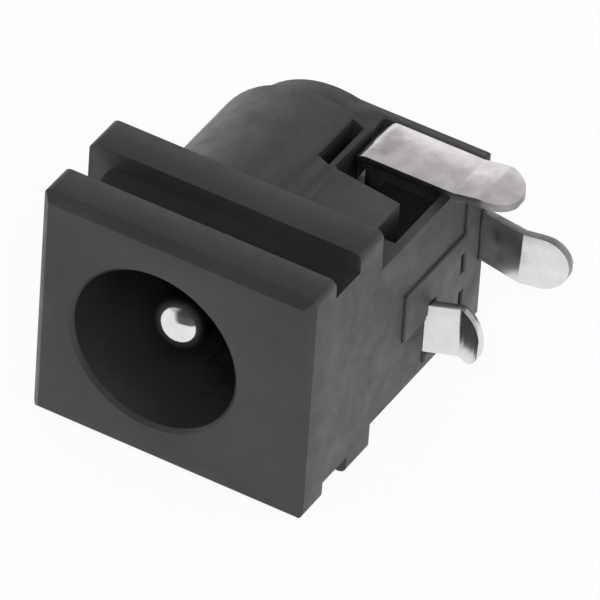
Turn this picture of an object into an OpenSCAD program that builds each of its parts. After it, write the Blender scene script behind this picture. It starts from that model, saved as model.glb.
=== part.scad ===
// DC barrel jack, 5.5 mm plug, right-angle, through-hole, with a panel groove.
// Frame: the plug axis is the Y axis, and the plug enters at y = 0 towards +Y.
// +X points to the circuit board. +Z is the side that carries the switch contact.
// The origin is on the plug axis, in the front face.

/* [Front plate] */
// Width of the front plate and the collar
plate_w = 9.6; // [9.2:0.1:12]
// Plug axis to the edge of the plate that faces away from the board
plate_edge = 4.65; // [4.5:0.05:6]
// Thickness of the front plate
plate_t = 1.6; // [1:0.1:2.2]
// Chamfer round the front of the plate
plate_chamfer = 0.35; // [0.15:0.05:0.6]
// Corner radius of the plate and the collar
corner_r = 0.3; // [0.15:0.05:0.6]

/* [Panel groove] */
// Width of the groove that takes the edge of a panel
groove_w = 1.6; // [1:0.1:2.2]
// Depth of the groove
groove_d = 0.75; // [0.4:0.05:0.75]
// Thickness of the collar behind the groove
collar_t = 1.5; // [1:0.1:2]

/* [Body] */
// Front face to rear face
body_l = 11.85; // [11.6:0.05:14]
// Plug axis to the board
axis_h = 6.05; // [6:0.05:8]
// Height of the terminal base above the housing's board face
standoff = 0.1; // [0.05:0.05:0.3]
// Diameter of the barrel
barrel_d = 8.1; // [7.9:0.05:8.8]
// Plug axis to the side of the body that the sleeve tail is near
body_side = 3.65; // [3.55:0.05:3.95]
// Plug axis to the side of the body that carries the switch contact
switch_side = 3.4; // [3.3:0.05:3.6]

/* [Plug socket] */
// Bore that the plug's sleeve enters
bore_d = 6.3; // [6:0.05:6.5]
// Chamfer at the mouth of the bore
mouth_chamfer = 0.15; // [0.05:0.05:0.3]
// Diameter of the centre pin
pin_d = 2; // [1.6:0.05:2.5]
// Front face to the tip of the centre pin
pin_recess = 1.2; // [0.6:0.1:2.5]
// Diameter of the spigot that rivets the pin to its terminal
spigot_d = 1.2; // [0.8:0.05:1.4]

/* [Terminal base] */
// Thickness of the rear wall
wall_t = 1.3; // [1.2:0.05:1.6]
// Diameter of the round top of the rear wall
cap_d = 7.05; // [6.6:0.05:7.2]
// Thickness of the plate on the board side
base_t = 1; // [0.8:0.05:1.2]
// Length of that plate in front of the rear wall
base_reach = 4; // [3.6:0.1:4.6]
// Height of that plate's edge above the plug axis, towards the switch contact
base_edge = 0.7; // [0.4:0.05:0.9]
// Width of the front of that plate, which is narrower than the rest
base_front_w = 2.05; // [1.6:0.05:2.4]
// Gap round the terminal base and the contacts in their seats
fit_gap = 0.03; // [0.02:0.01:0.08]

/* [Contacts] */
// Thickness of the contact sheet
sheet_t = 0.3; // [0.2:0.05:0.35]
// Width of the centre tail and the sleeve tail
tail_w = 2.05; // [1.8:0.05:2.2]
// Width of the switch contact's strip and tail
strip_w = 2.15; // [1.8:0.05:2.2]
// Length of the centre tail past the board face
long_tail = 3.45; // [2.5:0.05:4.5]
// Length of the bent end of the centre tail
lean_l = 1.7; // [1:0.1:2]
// Distance that the tip of the centre tail leans back
lean = 0.17; // [0.05:0.01:0.25]
// Length of the sleeve and switch tails past the board face
short_tail = 2.05; // [1.6:0.05:3]
// Offset of the kink that holds the sleeve tail in its hole
sleeve_kink = 0.5; // [0.2:0.05:0.6]
// Offset of the kink in the switch tail
switch_kink = 0.2; // [0.1:0.05:0.5]
// Sleeve tail to centre tail, along the plug axis
tail_pitch = 3.4; // [3.2:0.05:3.6]
// Side of the body to the edge of the sleeve tail
tail_inset = 0.8; // [0.5:0.05:0.9]
// Width of the sleeve spring's leaf
leaf_w = 1.8; // [1.4:0.05:2]
// Plug axis to the crest of the leaf
leaf_rise = 2.4; // [2.3:0.05:2.7]
// Width of the finger on the switch contact
finger_w = 0.7; // [0.5:0.05:0.75]

/* [Hidden] */
$fn = 96;

// Cutters run this far past what they cut.
over = 0.5;
// Segments of a quarter bend in the sheet.
bend_steps = 8;
// Room for the inside of a bend.
bend_relief = 0.2;

// Stations along the plug axis.
y_groove = plate_t;
y_collar = y_groove + groove_w;
y_body = y_collar + collar_t;
y_rear = body_l;
y_wall = y_rear - wall_t;

// Levels towards the board.
x_board = axis_h;
x_face = x_board - standoff;
x_floor = x_board - base_t;

// Half widths.
plate_z = plate_w / 2;
neck_z = plate_z - groove_d;
bore_r = bore_d / 2;
barrel_r = barrel_d / 2;
cap_r = cap_d / 2;

// Chamber for the sleeve spring, open into the bore.
side_wall = 0.3;
leaf_room = 0.4;
chamber_low = -body_side + side_wall;
chamber_high = leaf_w / 2 + leaf_room;
chamber_lead = 0.8;
chamber_front = y_body - chamber_lead;

// Shelf along the board side of the switch face, and the well in it.
shelf_w = 1.1;
shelf_wall = 0.35;
shelf_l = 1.5;
well_drop = 1.6;
well_l = 1.1;
well_slant = 0.4;
strip_low = switch_side - sheet_t;
x_shelf = x_face - shelf_w;
x_well = x_face - shelf_wall;

// Boss that carries the pin, and the disc that centres the rear wall in the bore.
boss_l = 0.6;
boss_wall = 1.2;
disc_l = 0.4;

// Nose, shoulder and riveted end of the pin.
nose_l = 0.9;
nose_steps = 12;
y_shoulder = y_wall - boss_l;
rivet_lip = 0.25;
rivet_h = 0.25;

// Seat of the centre terminal in the rear face.
seat_depth = sheet_t + fit_gap;
y_terminal = y_rear - seat_depth;
terminal_r = 1.3;
tail_end_r = tail_w / 2;

// Cored slots where the rear wall meets the plate on the board side.
core_w = 0.22;
core_l = 0.75;
core_depth = 0.6;
core_low = [-0.87, -2.5];

// Sleeve tail, and the step at its front where the terminal base's plate widens.
y_sleeve = y_terminal + sheet_t / 2 - tail_pitch;
y_widen = y_sleeve - sheet_t / 2;
base_front_low = base_edge - base_front_w;
tail_low = -body_side + tail_inset;
tail_high = tail_low + tail_w;

// Strip of the switch contact, from its rear edge to its front edge.
rim_t = 0.4;
strip_end_r = strip_w / 2;
y_strip_rear = y_rear - rim_t - fit_gap;
y_strip_front = y_strip_rear - strip_w;
x_finger = leaf_rise - sheet_t;

// Heel of the strip, where it bends down into its leg and its finger.
heel_bend_r = 0.45;
heel_corner = 0.4;
heel_relief = heel_bend_r - sheet_t / 2 + fit_gap;
leg_l = 0.7;
leg_low = strip_low - leg_l;
finger_end = 0.15;
finger_gap = 0.1;
y_finger_rear = y_wall - finger_gap;
y_finger_front = y_finger_rear - finger_w;
y_well = y_strip_front - well_l;

// Window in the barrel beside the switch contact.
window_w = 0.45;
window_rib = 0.15;
window_end = 0.2;
window_lead = 0.15;
x_window = x_finger - fit_gap - window_rib - window_w;

// Foot of the sleeve spring, its fold and its leaf, whose bends lie at shares of its length.
bend_r = 0.3;
foot_l = 1.6;
fold_gap = 0.1;
fold_w = 0.9;
leaf_bow = 0.45;
leaf_start = 0.16;
leaf_middle = 0.48;
leaf_back = 0.72;
x_foot = x_floor - sheet_t / 2;
x_crest = leaf_rise + sheet_t / 2;
y_fold = chamber_front + fold_gap + sheet_t / 2;
y_leaf_end = y_finger_rear - finger_gap;
leaf_l = y_leaf_end - y_fold;

// Extrudes a drawing of X and Z along the plug axis, from y0 to y1.
module along_y(y0, y1) {
    translate([0, y1, 0])
        rotate([90, 0, 0])
            linear_extrude(height = y1 - y0)
                children();
}

// Box between two corners.
module block(low, high) {
    translate(low)
        cube(high - low);
}

// Rectangle between two corners, with round corners.
module round_rect(low, high, r) {
    union() {
        translate([low.x + r, low.y])
            square([high.x - low.x - 2 * r, high.y - low.y]);
        translate([low.x, low.y + r])
            square([high.x - low.x, high.y - low.y - 2 * r]);
        for (x = [low.x + r, high.x - r], y = [low.y + r, high.y - r])
            translate([x, y])
                circle(r = r);
    }
}

// Outline of the front plate and the collar.
module plate_outline() {
    round_rect([-plate_edge, -plate_z], [x_face, plate_z], corner_r);
}

// Side view of the plate between two edges, with both front corners cut off.
function chamfered(low, high) = [
    [low + plate_chamfer, 0],
    [high - plate_chamfer, 0],
    [high, plate_chamfer],
    [high, plate_t],
    [low, plate_t],
    [low, plate_chamfer]
];

// Front plate, chamfered on all four sides.
module front_plate() {
    intersection() {
        along_y(0, plate_t)
            plate_outline();
        translate([0, 0, -plate_z])
            linear_extrude(height = plate_w)
                polygon(chamfered(-plate_edge, x_face));
        translate([-plate_edge, 0, 0])
            rotate([90, 0, 90])
                linear_extrude(height = plate_edge + x_face)
                    polygon([for (p = chamfered(-plate_z, plate_z)) [p.y, p.x]]);
    }
}

// Neck that forms the floor of the panel groove.
module neck() {
    along_y(y_groove - over, y_collar + over)
        round_rect([-plate_edge + groove_d, -neck_z], [x_face, neck_z], corner_r);
    block([0, y_groove - over, -neck_z], [x_face, y_collar + over, neck_z]);
}

// Round barrel with a straight-sided body below it.
module barrel() {
    along_y(y_collar, y_wall)
        union() {
            circle(r = barrel_r);
            translate([0, -body_side])
                square([x_face, body_side + switch_side]);
        }
}

// Everything that the plug and the sleeve spring need open inside the housing.
module socket_cut() {
    along_y(-over, y_wall + over)
        circle(r = bore_r);
    translate([0, mouth_chamfer, 0])
        rotate([90, 0, 0])
            cylinder(h = mouth_chamfer + over, r1 = bore_r, r2 = bore_r + mouth_chamfer + over);
    block([0, chamber_front, chamber_low], [x_floor, y_wall + over, chamber_high]);
}

// Opening in the board face that the terminal base slides into from the rear.
module base_cut() {
    low = [x_floor - fit_gap, y_wall - base_reach - fit_gap, base_front_low - fit_gap];
    high = [x_face + over, y_wall + over, base_edge + fit_gap];
    block(low, high);
    block([low.x, y_widen - fit_gap, chamber_low - fit_gap], high);
    block(
        [low.x, y_widen - bend_relief, tail_low - fit_gap],
        [x_floor + bend_relief, y_widen, tail_high + fit_gap]
    );
}

// Shelf, well and window of the switch contact. The well's front wall is slanted.
module switch_cut() {
    block([x_shelf, y_body, strip_low], [x_face + over, y_wall + over, switch_side + over]);
    translate([0, 0, strip_low - well_drop])
        linear_extrude(height = well_drop + sheet_t + over)
            polygon([
                [x_finger - fit_gap, y_wall + over],
                [x_finger - fit_gap, y_well],
                [x_shelf, y_well - well_slant],
                [x_shelf, y_body + shelf_l],
                [x_well, y_body + shelf_l],
                [x_well, y_wall + over]
            ]);
    block([x_window, y_well - window_lead, 0], [x_window + window_w, y_wall - window_end, barrel_r + over]);
}

module housing() {
    color([0.16, 0.16, 0.165])
        difference() {
            union() {
                front_plate();
                neck();
                along_y(y_collar, y_body)
                    plate_outline();
                barrel();
            }
            socket_cut();
            base_cut();
            switch_cut();
        }
}

// Outline of the rear wall: round above the plug axis, straight towards the board.
module wall_outline() {
    union() {
        circle(r = cap_r);
        translate([0, -cap_r])
            square([x_board, cap_r + switch_side]);
        translate([cap_r, -body_side])
            square([x_board - cap_r, body_side]);
    }
}

// Boss that carries the pin, and the disc that centres the wall in the bore.
module wall_register() {
    along_y(y_shoulder, y_wall + over)
        circle(r = spigot_d / 2 + boss_wall);
    intersection() {
        along_y(y_wall - disc_l, y_wall + over)
            circle(r = bore_r - fit_gap);
        block([-bore_r, y_wall - disc_l, -bore_r], [x_window - finger_gap, y_wall + over, bore_r]);
    }
}

// Recess in the rear wall for the strip of the switch contact and its bent leg.
module strip_recess() {
    block(
        [x_finger - fit_gap, y_wall - over, strip_low],
        [x_board + over, y_rear - rim_t, switch_side + over]
    );
    block(
        [x_finger - fit_gap, y_wall - over, leg_low - fit_gap],
        [x_finger + sheet_t + heel_relief, y_rear - rim_t, strip_low + over]
    );
}

// Slot that the sleeve tail passes through, relieved for the bend behind it.
module tail_slot() {
    low = tail_low - fit_gap;
    high = tail_high + fit_gap;
    front = y_sleeve - sheet_t / 2;
    rear = y_sleeve + sheet_t / 2 + fit_gap + bend_relief;
    block([x_floor - over, front - fit_gap, low], [x_board + over, rear, high]);
    block([x_floor - over, front - bend_relief, low], [x_floor + bend_relief, rear, high]);
}

// Recess in the rear face that the centre terminal lies in.
module terminal_recess() {
    along_y(y_terminal, y_rear + over)
        union() {
            circle(r = terminal_r + fit_gap);
            translate([0, -tail_w / 2 - fit_gap])
                square([x_board + over, tail_w + 2 * fit_gap]);
        }
}

module terminal_base() {
    color([0.18, 0.18, 0.185])
        difference() {
            union() {
                along_y(y_wall, y_rear)
                    wall_outline();
                wall_register();
                block(
                    [x_floor, y_wall - base_reach, base_front_low],
                    [x_board, y_wall + over, base_edge]
                );
                block([x_floor, y_widen, chamber_low], [x_board, y_wall + over, base_edge]);
            }
            along_y(y_shoulder - over, y_rear + over)
                circle(r = spigot_d / 2);
            strip_recess();
            terminal_recess();
            tail_slot();
            for (z = core_low)
                block([x_board - core_depth, y_wall - core_w, z], [x_board + over, y_wall, z + core_l]);
        }
}

// Turned pin with a round nose, and a spigot that is riveted over the terminal.
module centre_pin() {
    pin_r = pin_d / 2;
    spigot_r = spigot_d / 2;
    y_rivet = y_terminal + sheet_t;
    color([0.8, 0.8, 0.8])
        rotate([-90, 0, 0])
            rotate_extrude()
                polygon(concat(
                    [for (i = [0:nose_steps]) [
                        pin_r * sin(90 * i / nose_steps),
                        pin_recess + nose_l * (1 - cos(90 * i / nose_steps))
                    ]],
                    [
                        [pin_r, y_shoulder],
                        [spigot_r, y_shoulder],
                        [spigot_r, y_rivet],
                        [spigot_r + rivet_lip, y_rivet],
                        [spigot_r + rivet_lip, y_rivet + rivet_h / 2],
                        [spigot_r / 2, y_rivet + rivet_h],
                        [0, y_rivet + rivet_h]
                    ]
                ));
}

// Unit vector from a to b, and the one at its left.
function unit(a, b) = (b - a) / norm(b - a);
function left_of(v) = [-v.y, v.x];

// Arc that rounds the corner b between a and c with a radius r on the middle line.
function corner(a, b, c, r) =
    let (
        u = unit(b, a),
        v = unit(b, c),
        half = acos(max(-1, min(1, u * v))) / 2,
        middle = b + unit([0, 0], u + v) * r / sin(half),
        side = (u.x * v.y - u.y * v.x) > 0 ? 1 : -1,
        start = atan2(b.y + u.y * r / tan(half) - middle.y, b.x + u.x * r / tan(half) - middle.x),
        sweep = -side * (180 - 2 * half),
        steps = max(2, ceil(abs(sweep) / 90 * bend_steps))
    )
    [for (i = [0:steps]) middle + r * [cos(start + sweep * i / steps), sin(start + sweep * i / steps)]];

// Middle line of a folded sheet: straight stretches joined by round bends.
function folded(points, r) = concat(
    [points[0]],
    [for (i = [1:len(points) - 2]) each corner(points[i - 1], points[i], points[i + 1], r)],
    [points[len(points) - 1]]
);

// Normal of the middle line at point i.
function normal_at(line, i) =
    let (
        a = line[max(0, i - 1)],
        b = line[i],
        c = line[min(len(line) - 1, i + 1)],
        n1 = i > 0 ? left_of(unit(a, b)) : left_of(unit(b, c)),
        n2 = i < len(line) - 1 ? left_of(unit(b, c)) : n1
    )
    (n1 + n2) / (1 + n1 * n2);

// Outline of a sheet of thickness t about a middle line.
function sheet(line, t) = concat(
    [for (i = [0:len(line) - 1]) line[i] + normal_at(line, i) * t / 2],
    [for (i = [len(line) - 1:-1:0]) line[i] - normal_at(line, i) * t / 2]
);

// Sheet folded in the X-Y plane, between two heights.
module sheet_xy(points, r, z0, z1) {
    translate([0, 0, z0])
        linear_extrude(height = z1 - z0)
            polygon(sheet(folded(points, r), sheet_t));
}

// Sheet folded in the X-Z plane, between two stations on the plug axis.
module sheet_xz(points, r, y0, y1) {
    along_y(y0, y1)
        polygon(sheet(folded(points, r), sheet_t));
}

// Terminal in the rear face, with a round-ended tail whose end leans back.
module centre_terminal() {
    x_tip = x_board + long_tail;
    y_middle = y_terminal + sheet_t / 2;
    color([0.8, 0.8, 0.8])
        intersection() {
            along_y(0, y_rear + sheet_t + lean)
                difference() {
                    union() {
                        circle(r = terminal_r);
                        translate([0, -tail_end_r])
                            square([x_tip - tail_end_r, tail_w]);
                        translate([x_tip - tail_end_r, 0])
                            circle(r = tail_end_r);
                    }
                    circle(r = spigot_d / 2);
                }
            sheet_xy(
                [
                    [-terminal_r, y_middle],
                    [x_tip - lean_l, y_middle],
                    [x_tip, y_middle + lean]
                ],
                bend_r, -terminal_r, terminal_r
            );
        }
}

// Foot and kinked tail of the sleeve spring, as a strip in the X-Y plane.
module spring_tail() {
    x_tip = x_board + short_tail;
    intersection() {
        sheet_xy(
            [
                [x_foot, y_sleeve - foot_l],
                [x_foot, y_sleeve],
                [x_board - bend_relief, y_sleeve],
                [x_board + short_tail / 2, y_sleeve + sleeve_kink],
                [x_tip, y_sleeve]
            ],
            bend_r, tail_low, tail_high
        );
        along_y(0, y_rear)
            union() {
                translate([0, tail_low])
                    square([x_tip - tail_end_r, tail_w]);
                translate([x_tip - tail_end_r, tail_low + tail_end_r])
                    circle(r = tail_end_r);
            }
    }
}

// Sprung leaf: up from the foot at a fold, a crest in the bore, and a rest for the finger.
module spring_leaf() {
    sheet_xy(
        [
            [x_foot, y_sleeve - foot_l + bend_r],
            [x_foot, y_fold],
            [x_foot - fold_w, y_fold],
            [x_foot - fold_w, y_fold + leaf_start * leaf_l],
            [x_crest, y_fold + leaf_middle * leaf_l],
            [x_crest + leaf_bow, y_fold + leaf_back * leaf_l],
            [x_crest, y_leaf_end - finger_w - finger_gap],
            [x_crest, y_leaf_end]
        ],
        bend_r, -leaf_w / 2, leaf_w / 2
    );
}

// Leaf spring that presses on the plug's sleeve, folded from one strip with its tail.
module sleeve_spring() {
    color([0.8, 0.8, 0.8])
        union() {
            spring_tail();
            spring_leaf();
            block(
                [x_foot - sheet_t / 2, y_sleeve - foot_l, tail_low],
                [x_foot + sheet_t / 2, y_sleeve - foot_l + bend_r, leaf_w / 2]
            );
        }
}

// Strip that lies on the switch face, with a tail outside and a finger inside.
module switch_contact() {
    z_flat = strip_low + sheet_t / 2;
    x_tip = x_board + short_tail;
    x_kink = x_board + short_tail / 2;
    strip_line = [
        [x_tip, z_flat],
        [x_kink, z_flat + switch_kink],
        [x_board, z_flat],
        [x_finger + sheet_t / 2, z_flat],
        [x_finger + sheet_t / 2, leg_low]
    ];
    color([0.8, 0.8, 0.8])
        union() {
            intersection() {
                sheet_xz(strip_line, heel_bend_r, y_strip_front, y_strip_rear);
                linear_extrude(height = plate_w)
                    union() {
                        round_rect([x_finger, y_strip_front], [x_board, y_strip_rear], heel_corner);
                        translate([x_board - strip_end_r, y_strip_front])
                            square([short_tail, strip_w]);
                        translate([x_tip - strip_end_r, y_strip_front + strip_end_r])
                            circle(r = strip_end_r);
                    }
            }
            block(
                [x_finger, y_finger_front, finger_end],
                [x_finger + sheet_t, y_finger_rear, leg_low]
            );
        }
}

housing();
terminal_base();
centre_pin();
centre_terminal();
sleeve_spring();
switch_contact();
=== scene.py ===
"""Looks of a DC barrel jack: moulded black plastic and tinned sheet contacts on a white table.

All lengths are in metres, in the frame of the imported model: the plug axis is Y, the front
face is at y = 0, +X points to the circuit board and +Z is the side of the switch contact.
"""

import math

import bmesh
import bpy
from mathutils import Euler, Matrix, Vector


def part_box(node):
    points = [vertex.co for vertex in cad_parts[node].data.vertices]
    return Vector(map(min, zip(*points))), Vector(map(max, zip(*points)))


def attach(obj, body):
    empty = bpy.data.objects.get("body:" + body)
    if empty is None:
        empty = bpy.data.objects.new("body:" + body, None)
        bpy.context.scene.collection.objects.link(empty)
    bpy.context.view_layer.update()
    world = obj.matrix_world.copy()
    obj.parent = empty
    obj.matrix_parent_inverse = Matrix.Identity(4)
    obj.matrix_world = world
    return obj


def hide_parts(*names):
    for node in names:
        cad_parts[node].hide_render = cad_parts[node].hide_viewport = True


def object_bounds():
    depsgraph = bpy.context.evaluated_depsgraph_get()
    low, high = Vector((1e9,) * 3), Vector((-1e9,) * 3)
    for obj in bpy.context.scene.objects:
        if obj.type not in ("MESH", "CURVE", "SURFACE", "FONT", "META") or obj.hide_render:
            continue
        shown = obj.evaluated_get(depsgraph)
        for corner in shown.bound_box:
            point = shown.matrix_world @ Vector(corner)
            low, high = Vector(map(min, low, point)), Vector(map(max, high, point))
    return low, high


MM = 0.001

# Camera of the photograph: where it aims, how far off it is, how it is turned, and its lens.
AIM = Vector((3.62, 3.44, 1.60)) * MM
DISTANCE = 394 * MM
AZIMUTH = math.radians(28.045)
ELEVATION = math.radians(39.946)
ROLL = math.radians(4.06)
LENS = 706.2
SENSOR = 36

# Lamps: direction and height in degrees, distance and size in metres, and power in watts.
KEY_LAMP = (26, 42, 0.6, 0.3, 2.4)
SIDE_LAMP = (80, 20, 0.6, 0.4, 1.0)

# Size and plain colour of the floor.
FLOOR_SIZE = 6
FLOOR_GREY = 0.86

# Share of the floor's colour that is plain white to the camera, over its lit and shaded part.
WHITE_SHARE = 0.93

# Brightness of the studio near the horizon and overhead, and the heights where it changes.
HORIZON, OVERHEAD = 1.0, 0.5
HORIZON_TOP, OVERHEAD_FROM = 0.3, 0.62

# The unlit side of the studio, in front and above: its middle, its brightness and its extent.
DARK_SIDE = (0.42, -0.78, 0.46)
DARK_LEVEL = 0.12
DARK_INSIDE, DARK_OUTSIDE = 0.84, 0.6

# Room that the edge rounding takes off the moulded edges, the metal edges and the strip's edges.
PLASTIC_EDGE = 0.10 * MM
METAL_EDGE = 0.04 * MM
STRIP_EDGE = 0.08 * MM

# Corners sharper than this are rounded, and vertices closer than this are one.
SHARP = math.radians(30)
WELD = 0.001 * MM

# The flat part of the centre tail leans forward by a slope and turns about its length, in
# radians. Its bent end leans back by a share of that slope.
TAIL_FLAT = 1.75 * MM
TAIL_SLOPE, TAIL_TWIST = 0.17, 0.05
END_SHARE = 0.6

# The end of the sleeve tail turns between these distances from the board.
SLEEVE_END = (1.2 * MM, 1.9 * MM)
SLEEVE_TWIST = 0.12

# Height of the pin's round nose, and the length of pin that is reshaped for it.
NOSE, NOSE_REACH = 0.75 * MM, 1 * MM

# A darker oval patch on the strip: middle, half sizes, tint, strength, and where it fades.
PATCH = Vector((2.95, 10.6, 3.4)) * MM
PATCH_SIZE = Vector((0.45, 0.7, 0.5)) * MM
PATCH_TINT = (0.5, 0.49, 0.485, 1)
PATCH_STRENGTH = 0.55
PATCH_FADE = (1.9, 1.1)


def socket(node, name, value):
    """Sets one input of a shader node."""
    node.inputs[name].default_value = value


def set_range(node, source, target):
    """Sets both ends of a Map Range node."""
    for name, value in zip(("From Min", "From Max", "To Min", "To Max"), (*source, *target)):
        socket(node, name, value)


class Material:
    """A node material that is built up from the object's own coordinates."""

    def __init__(self, name):
        self.material = bpy.data.materials.new(name)
        self.material.use_nodes = True
        self.nodes = self.material.node_tree.nodes
        self.links = self.material.node_tree.links
        self.shader = self.nodes["Principled BSDF"]
        self.coordinates = self.nodes.new("ShaderNodeTexCoord")

    def link(self, source, target):
        self.links.new(source, target)

    def noise(self, size, detail=3.0, roughness=0.5, stretch=(1, 1, 1)):
        """Noise whose lumps are about as large as size, in metres."""
        mapping = self.nodes.new("ShaderNodeMapping")
        mapping.inputs["Scale"].default_value = [s / size for s in stretch]
        texture = self.nodes.new("ShaderNodeTexNoise")
        socket(texture, "Scale", 1.0)
        socket(texture, "Detail", detail)
        socket(texture, "Roughness", roughness)
        self.link(self.coordinates.outputs["Object"], mapping.inputs["Vector"])
        self.link(mapping.outputs["Vector"], texture.inputs["Vector"])
        return texture.outputs["Fac"]

    def ramp(self, factor, stops):
        """Colour ramp with (position, colour) stops, where a colour is a grey or a triple."""
        ramp = self.nodes.new("ShaderNodeValToRGB")
        elements = ramp.color_ramp.elements
        while len(elements) < len(stops):
            elements.new(0.5)
        for element, (position, colour) in zip(elements, stops):
            rgb = colour if hasattr(colour, "__len__") else (colour,) * 3
            element.position = position
            element.color = (*rgb, 1)
        self.link(factor, ramp.inputs["Fac"])
        return ramp.outputs["Color"]

    def spread(self, factor, low, high):
        """The factor from 0.3 to 0.7, spread over low to high."""
        node = self.nodes.new("ShaderNodeMapRange")
        set_range(node, (0.3, 0.7), (low, high))
        self.link(factor, node.inputs["Value"])
        return node.outputs["Result"]

    def darken_oval(self, colour, wobble):
        """The colour, darkened in an oval of uneven outline."""
        place = self.nodes.new("ShaderNodeMapping")
        place.vector_type = "TEXTURE"
        place.inputs["Location"].default_value = PATCH
        place.inputs["Scale"].default_value = PATCH_SIZE
        reach = self.nodes.new("ShaderNodeVectorMath")
        reach.operation = "LENGTH"
        uneven = self.nodes.new("ShaderNodeMath")
        uneven.operation = "ADD"
        fade = self.nodes.new("ShaderNodeMapRange")
        set_range(fade, PATCH_FADE, (0.0, PATCH_STRENGTH))
        mix = self.nodes.new("ShaderNodeMix")
        mix.data_type = "RGBA"
        mix.blend_type = "MULTIPLY"
        mix.inputs["B"].default_value = PATCH_TINT
        self.link(self.coordinates.outputs["Object"], place.inputs["Vector"])
        self.link(place.outputs["Vector"], reach.inputs[0])
        self.link(reach.outputs["Value"], uneven.inputs[0])
        self.link(wobble, uneven.inputs[1])
        self.link(uneven.outputs[0], fade.inputs["Value"])
        self.link(fade.outputs["Result"], mix.inputs["Factor"])
        self.link(colour, mix.inputs["A"])
        return mix.outputs["Result"]

    def bump(self, height, depth, under=None):
        """Normal of a height between 0 and 1 over a depth in metres, on top of another normal."""
        node = self.nodes.new("ShaderNodeBump")
        socket(node, "Strength", 1.0)
        socket(node, "Distance", depth)
        self.link(height, node.inputs["Height"])
        if under is not None:
            self.link(under, node.inputs["Normal"])
        return node.outputs["Normal"]


def plastic(name, dark, light):
    """Moulded black plastic: fine satin grain, faint flow clouds and a few polished spots."""
    m = Material(name)
    clouds = m.noise(3.5 * MM, detail=2)
    grain = m.noise(0.09 * MM, detail=4, roughness=0.6)
    scuffs = m.noise(0.8 * MM, detail=5, roughness=0.7)
    m.link(m.ramp(clouds, [(0.3, dark), (0.7, light)]), m.shader.inputs["Base Color"])
    m.link(m.spread(scuffs, 0.36, 0.52), m.shader.inputs["Roughness"])
    normal = m.bump(grain, 0.004 * MM)
    m.link(m.bump(clouds, 0.03 * MM, normal), m.shader.inputs["Normal"])
    return m.material


def tinned(name, dark, light, rough, patch=False):
    """Tin plate on brass sheet: nearly a mirror, with rolled streaks and slight mottling."""
    m = Material(name)
    streaks = m.noise(1.2 * MM, detail=4, stretch=(0.25, 1, 1))
    mottle = m.noise(0.5 * MM, detail=3)
    pits = m.noise(0.12 * MM, detail=3, roughness=0.6)
    colour = m.ramp(mottle, [(0.3, dark), (0.7, light)])
    if patch:
        colour = m.darken_oval(colour, mottle)
    m.link(colour, m.shader.inputs["Base Color"])
    m.link(m.spread(streaks, rough * 0.7, rough * 1.4), m.shader.inputs["Roughness"])
    normal = m.bump(pits, 0.0012 * MM)
    m.link(m.bump(streaks, 0.006 * MM, normal), m.shader.inputs["Normal"])
    socket(m.shader, "Metallic", 1.0)
    return m.material


def rounded_copy(node, width, segments):
    """A copy of a CAD node with its hard edges rounded off, which then stands for it."""
    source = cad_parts[node]
    piece = bpy.data.objects.new(node + "_moulded", source.data.copy())
    bpy.context.scene.collection.objects.link(piece)
    weld = piece.modifiers.new("weld", "WELD")
    weld.merge_threshold = WELD
    bevel = piece.modifiers.new("bevel", "BEVEL")
    bevel.limit_method = "ANGLE"
    bevel.angle_limit = SHARP
    bevel.width = width
    bevel.segments = segments
    bevel.use_clamp_overlap = True
    bevel.harden_normals = True
    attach(piece, "root")
    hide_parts(node)
    return piece


def lean_tail(piece, x_root, x_bend, slope, twist):
    """Tilts and twists a tail that points to +X between two stations, and moves its end along."""
    mesh = bmesh.new()
    mesh.from_mesh(piece.data)
    bmesh.ops.remove_doubles(mesh, verts=mesh.verts, dist=WELD)
    everything = mesh.verts[:] + mesh.edges[:] + mesh.faces[:]
    bmesh.ops.bisect_plane(mesh, geom=everything, plane_co=(x_root, 0, 0), plane_no=(1, 0, 0))
    tip = [vertex.co.z for vertex in mesh.verts if vertex.co.x > x_bend]
    middle = (min(tip) + max(tip)) / 2
    for vertex in mesh.verts:
        flat = min(max(vertex.co.x - x_root, 0), x_bend - x_root)
        bent = max(vertex.co.x - x_bend, 0)
        turn = twist * flat / (x_bend - x_root)
        vertex.co.y += slope * (END_SHARE * bent - flat) + turn * (vertex.co.z - middle)
    mesh.to_mesh(piece.data)
    mesh.free()


def round_nose(piece, height):
    """Gives the front end of a pin along Y a lower and fuller round nose."""
    mesh = bmesh.new()
    mesh.from_mesh(piece.data)
    tip = min(vertex.co.y for vertex in mesh.verts)
    radius = max(math.hypot(vertex.co.x, vertex.co.z) for vertex in mesh.verts)
    for vertex in mesh.verts:
        if vertex.co.y < tip + NOSE_REACH:
            reach = min(math.hypot(vertex.co.x, vertex.co.z) / radius, 1)
            vertex.co.y = tip + height * (1 - math.sqrt(1 - reach * reach))
    mesh.to_mesh(piece.data)
    mesh.free()


def paint(piece, material):
    """Gives a whole piece one material, with smooth shading between its rounded edges."""
    piece.data.materials.clear()
    piece.data.materials.append(material)
    for polygon in piece.data.polygons:
        polygon.material_index = 0
        polygon.use_smooth = True


def paint_sheet(piece, material, cut_and_shade, fold_axis, tail_axis):
    """Paints a folded sheet, and its sheared edges in a darker, rougher tin: duller cut metal,
    darkened further as painted shade and reflection.

    The folds run along fold_axis, and tail_axis is square to the tail outside the board."""
    paint(piece, material)
    piece.data.materials.append(cut_and_shade)
    for polygon in piece.data.polygons:
        outside = polygon.center.x > BOARD
        end = outside and abs(polygon.normal[tail_axis]) < 0.5
        if abs(polygon.normal[fold_axis]) > 0.5 or end:
            polygon.material_index = 1


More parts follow.
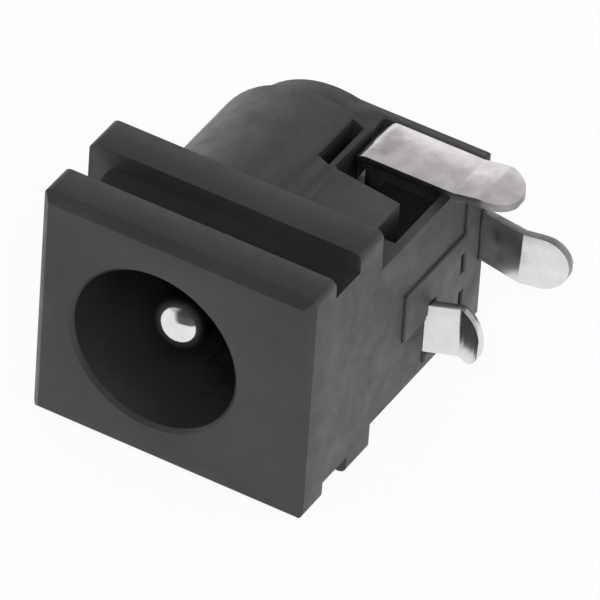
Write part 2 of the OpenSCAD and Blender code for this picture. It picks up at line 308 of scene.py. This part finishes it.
def white_surface(name):
    """White to the camera and in reflections, and a plain pale floor to everything else."""
    material = bpy.data.materials.new(name)
    material.use_nodes = True
    nodes, links = material.node_tree.nodes, material.node_tree.links
    shader = nodes["Principled BSDF"]
    socket(shader, "Base Color", (FLOOR_GREY, FLOOR_GREY, FLOOR_GREY, 1))
    socket(shader, "Roughness", 0.9)
    socket(shader, "Specular IOR Level", 0.1)
    white = nodes.new("ShaderNodeEmission")
    path = nodes.new("ShaderNodeLightPath")
    seen = nodes.new("ShaderNodeMath")
    seen.operation = "MAXIMUM"
    share = nodes.new("ShaderNodeMath")
    share.operation = "MULTIPLY"
    share.inputs[1].default_value = WHITE_SHARE
    mix = nodes.new("ShaderNodeMixShader")
    links.new(path.outputs["Is Camera Ray"], seen.inputs[0])
    links.new(path.outputs["Is Glossy Ray"], seen.inputs[1])
    links.new(seen.outputs[0], share.inputs[0])
    links.new(share.outputs[0], mix.inputs[0])
    links.new(shader.outputs[0], mix.inputs[1])
    links.new(white.outputs[0], mix.inputs[2])
    links.new(mix.outputs[0], nodes["Material Output"].inputs["Surface"])
    return material


def build_floor(z):
    """White table under the jack."""
    bpy.ops.mesh.primitive_plane_add(size=FLOOR_SIZE, location=(0, 0, z))
    floor = bpy.context.object
    floor.name = "floor"
    floor.data.materials.append(white_surface("floor_white"))


def build_world():
    """White studio that is dimmer overhead and dark on one side."""
    world = bpy.data.worlds.new("studio")
    bpy.context.scene.world = world
    world.use_nodes = True
    nodes, links = world.node_tree.nodes, world.node_tree.links
    direction = nodes.new("ShaderNodeTexCoord")
    split = nodes.new("ShaderNodeSeparateXYZ")
    level = nodes.new("ShaderNodeMapRange")
    level.interpolation_type = "SMOOTHSTEP"
    set_range(level, (HORIZON_TOP, OVERHEAD_FROM), (HORIZON, OVERHEAD))
    links.new(direction.outputs["Generated"], split.inputs[0])
    links.new(split.outputs["Z"], level.inputs["Value"])
    towards = nodes.new("ShaderNodeVectorMath")
    towards.operation = "DOT_PRODUCT"
    towards.inputs[1].default_value = Vector(DARK_SIDE).normalized()
    links.new(direction.outputs["Generated"], towards.inputs[0])
    side = nodes.new("ShaderNodeMapRange")
    side.interpolation_type = "SMOOTHSTEP"
    set_range(side, (DARK_OUTSIDE, DARK_INSIDE), (1.0, DARK_LEVEL))
    links.new(towards.outputs["Value"], side.inputs["Value"])
    both = nodes.new("ShaderNodeMath")
    both.operation = "MULTIPLY"
    links.new(level.outputs["Result"], both.inputs[0])
    links.new(side.outputs["Result"], both.inputs[1])
    links.new(both.outputs[0], nodes["Background"].inputs["Color"])
    socket(nodes["Background"], "Strength", 1.0)


def area_light(name, azimuth, elevation, distance, size, power):
    """Square lamp that faces the jack from a direction, and stays out of reflections."""
    light = bpy.data.lights.new(name, "AREA")
    light.shape = "SQUARE"
    light.size = size
    light.energy = power
    a, e = math.radians(azimuth), math.radians(elevation)
    direction = Vector((math.sin(a) * math.cos(e), -math.cos(a) * math.cos(e), math.sin(e)))
    lamp = bpy.data.objects.new(name, light)
    bpy.context.scene.collection.objects.link(lamp)
    lamp.visible_glossy = False
    lamp.location = AIM + direction * distance
    lamp.rotation_euler = direction.to_track_quat("Z", "Y").to_euler()


def build_camera():
    """The photograph's camera, with its depth of field and its shift left off."""
    data = bpy.data.cameras.new("camera")
    data.lens = LENS
    data.sensor_width = SENSOR
    data.clip_start = 0.01
    camera = bpy.data.objects.new("camera", data)
    bpy.context.scene.collection.objects.link(camera)
    turn = Euler((math.pi / 2 - ELEVATION, 0, AZIMUTH)).to_matrix() @ Matrix.Rotation(ROLL, 3, "Z")
    camera.rotation_euler = turn.to_euler()
    camera.location = AIM + turn.col[2] * DISTANCE
    bpy.context.scene.camera = camera


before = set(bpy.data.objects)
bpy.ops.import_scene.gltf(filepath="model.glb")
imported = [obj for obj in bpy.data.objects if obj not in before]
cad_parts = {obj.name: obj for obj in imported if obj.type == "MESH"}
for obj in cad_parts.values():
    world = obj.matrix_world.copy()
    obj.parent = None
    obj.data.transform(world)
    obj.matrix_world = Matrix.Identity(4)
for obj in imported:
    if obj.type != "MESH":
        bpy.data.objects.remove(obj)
cad_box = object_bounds()
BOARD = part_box("terminal_base")[1][0]

housing_plastic = plastic("housing_plastic", 0.018, 0.025)
# The insert's plastic is a lighter copy of the housing's plastic: painted light that makes the
# board side read brighter.
base_plastic_painted_light = plastic("base_plastic_painted_light", 0.026, 0.033)
tin = tinned("tin_plate", (0.72, 0.72, 0.71), (0.80, 0.80, 0.79), 0.24)
bright_tin = tinned("bright_tin_plate", (0.74, 0.74, 0.73), (0.81, 0.81, 0.80), 0.1)
dull_tin = tinned("dull_tin_plate", (0.70, 0.665, 0.66), (0.90, 0.865, 0.86), 0.22, patch=True)
# Sheared edges: duller cut metal, darkened further as painted shade and reflection on the thin
# edges.
cut_and_shade_tin = tinned("cut_edge_and_shade", (0.24, 0.235, 0.23), (0.40, 0.39, 0.385), 0.4)

paint(rounded_copy("housing", PLASTIC_EDGE, 3), housing_plastic)
paint(rounded_copy("terminal_base", PLASTIC_EDGE, 3), base_plastic_painted_light)
centre_tail = rounded_copy("centre_terminal", METAL_EDGE, 2)
lean_tail(centre_tail, BOARD, BOARD + TAIL_FLAT, TAIL_SLOPE, TAIL_TWIST)
paint_sheet(centre_tail, tin, cut_and_shade_tin, 2, 1)
sleeve = rounded_copy("sleeve_spring", METAL_EDGE, 2)
lean_tail(sleeve, BOARD + SLEEVE_END[0], BOARD + SLEEVE_END[1], 0, SLEEVE_TWIST)
paint(sleeve, tin)
paint_sheet(rounded_copy("switch_contact", STRIP_EDGE, 3), dull_tin, cut_and_shade_tin, 1, 2)
pin = rounded_copy("centre_pin", METAL_EDGE, 2)
round_nose(pin, NOSE)
paint(pin, bright_tin)

build_floor(cad_box[0][2])
build_world()
area_light("key", *KEY_LAMP)
area_light("side", *SIDE_LAMP)
build_camera()
bpy.context.scene.view_settings.view_transform = "Standard"
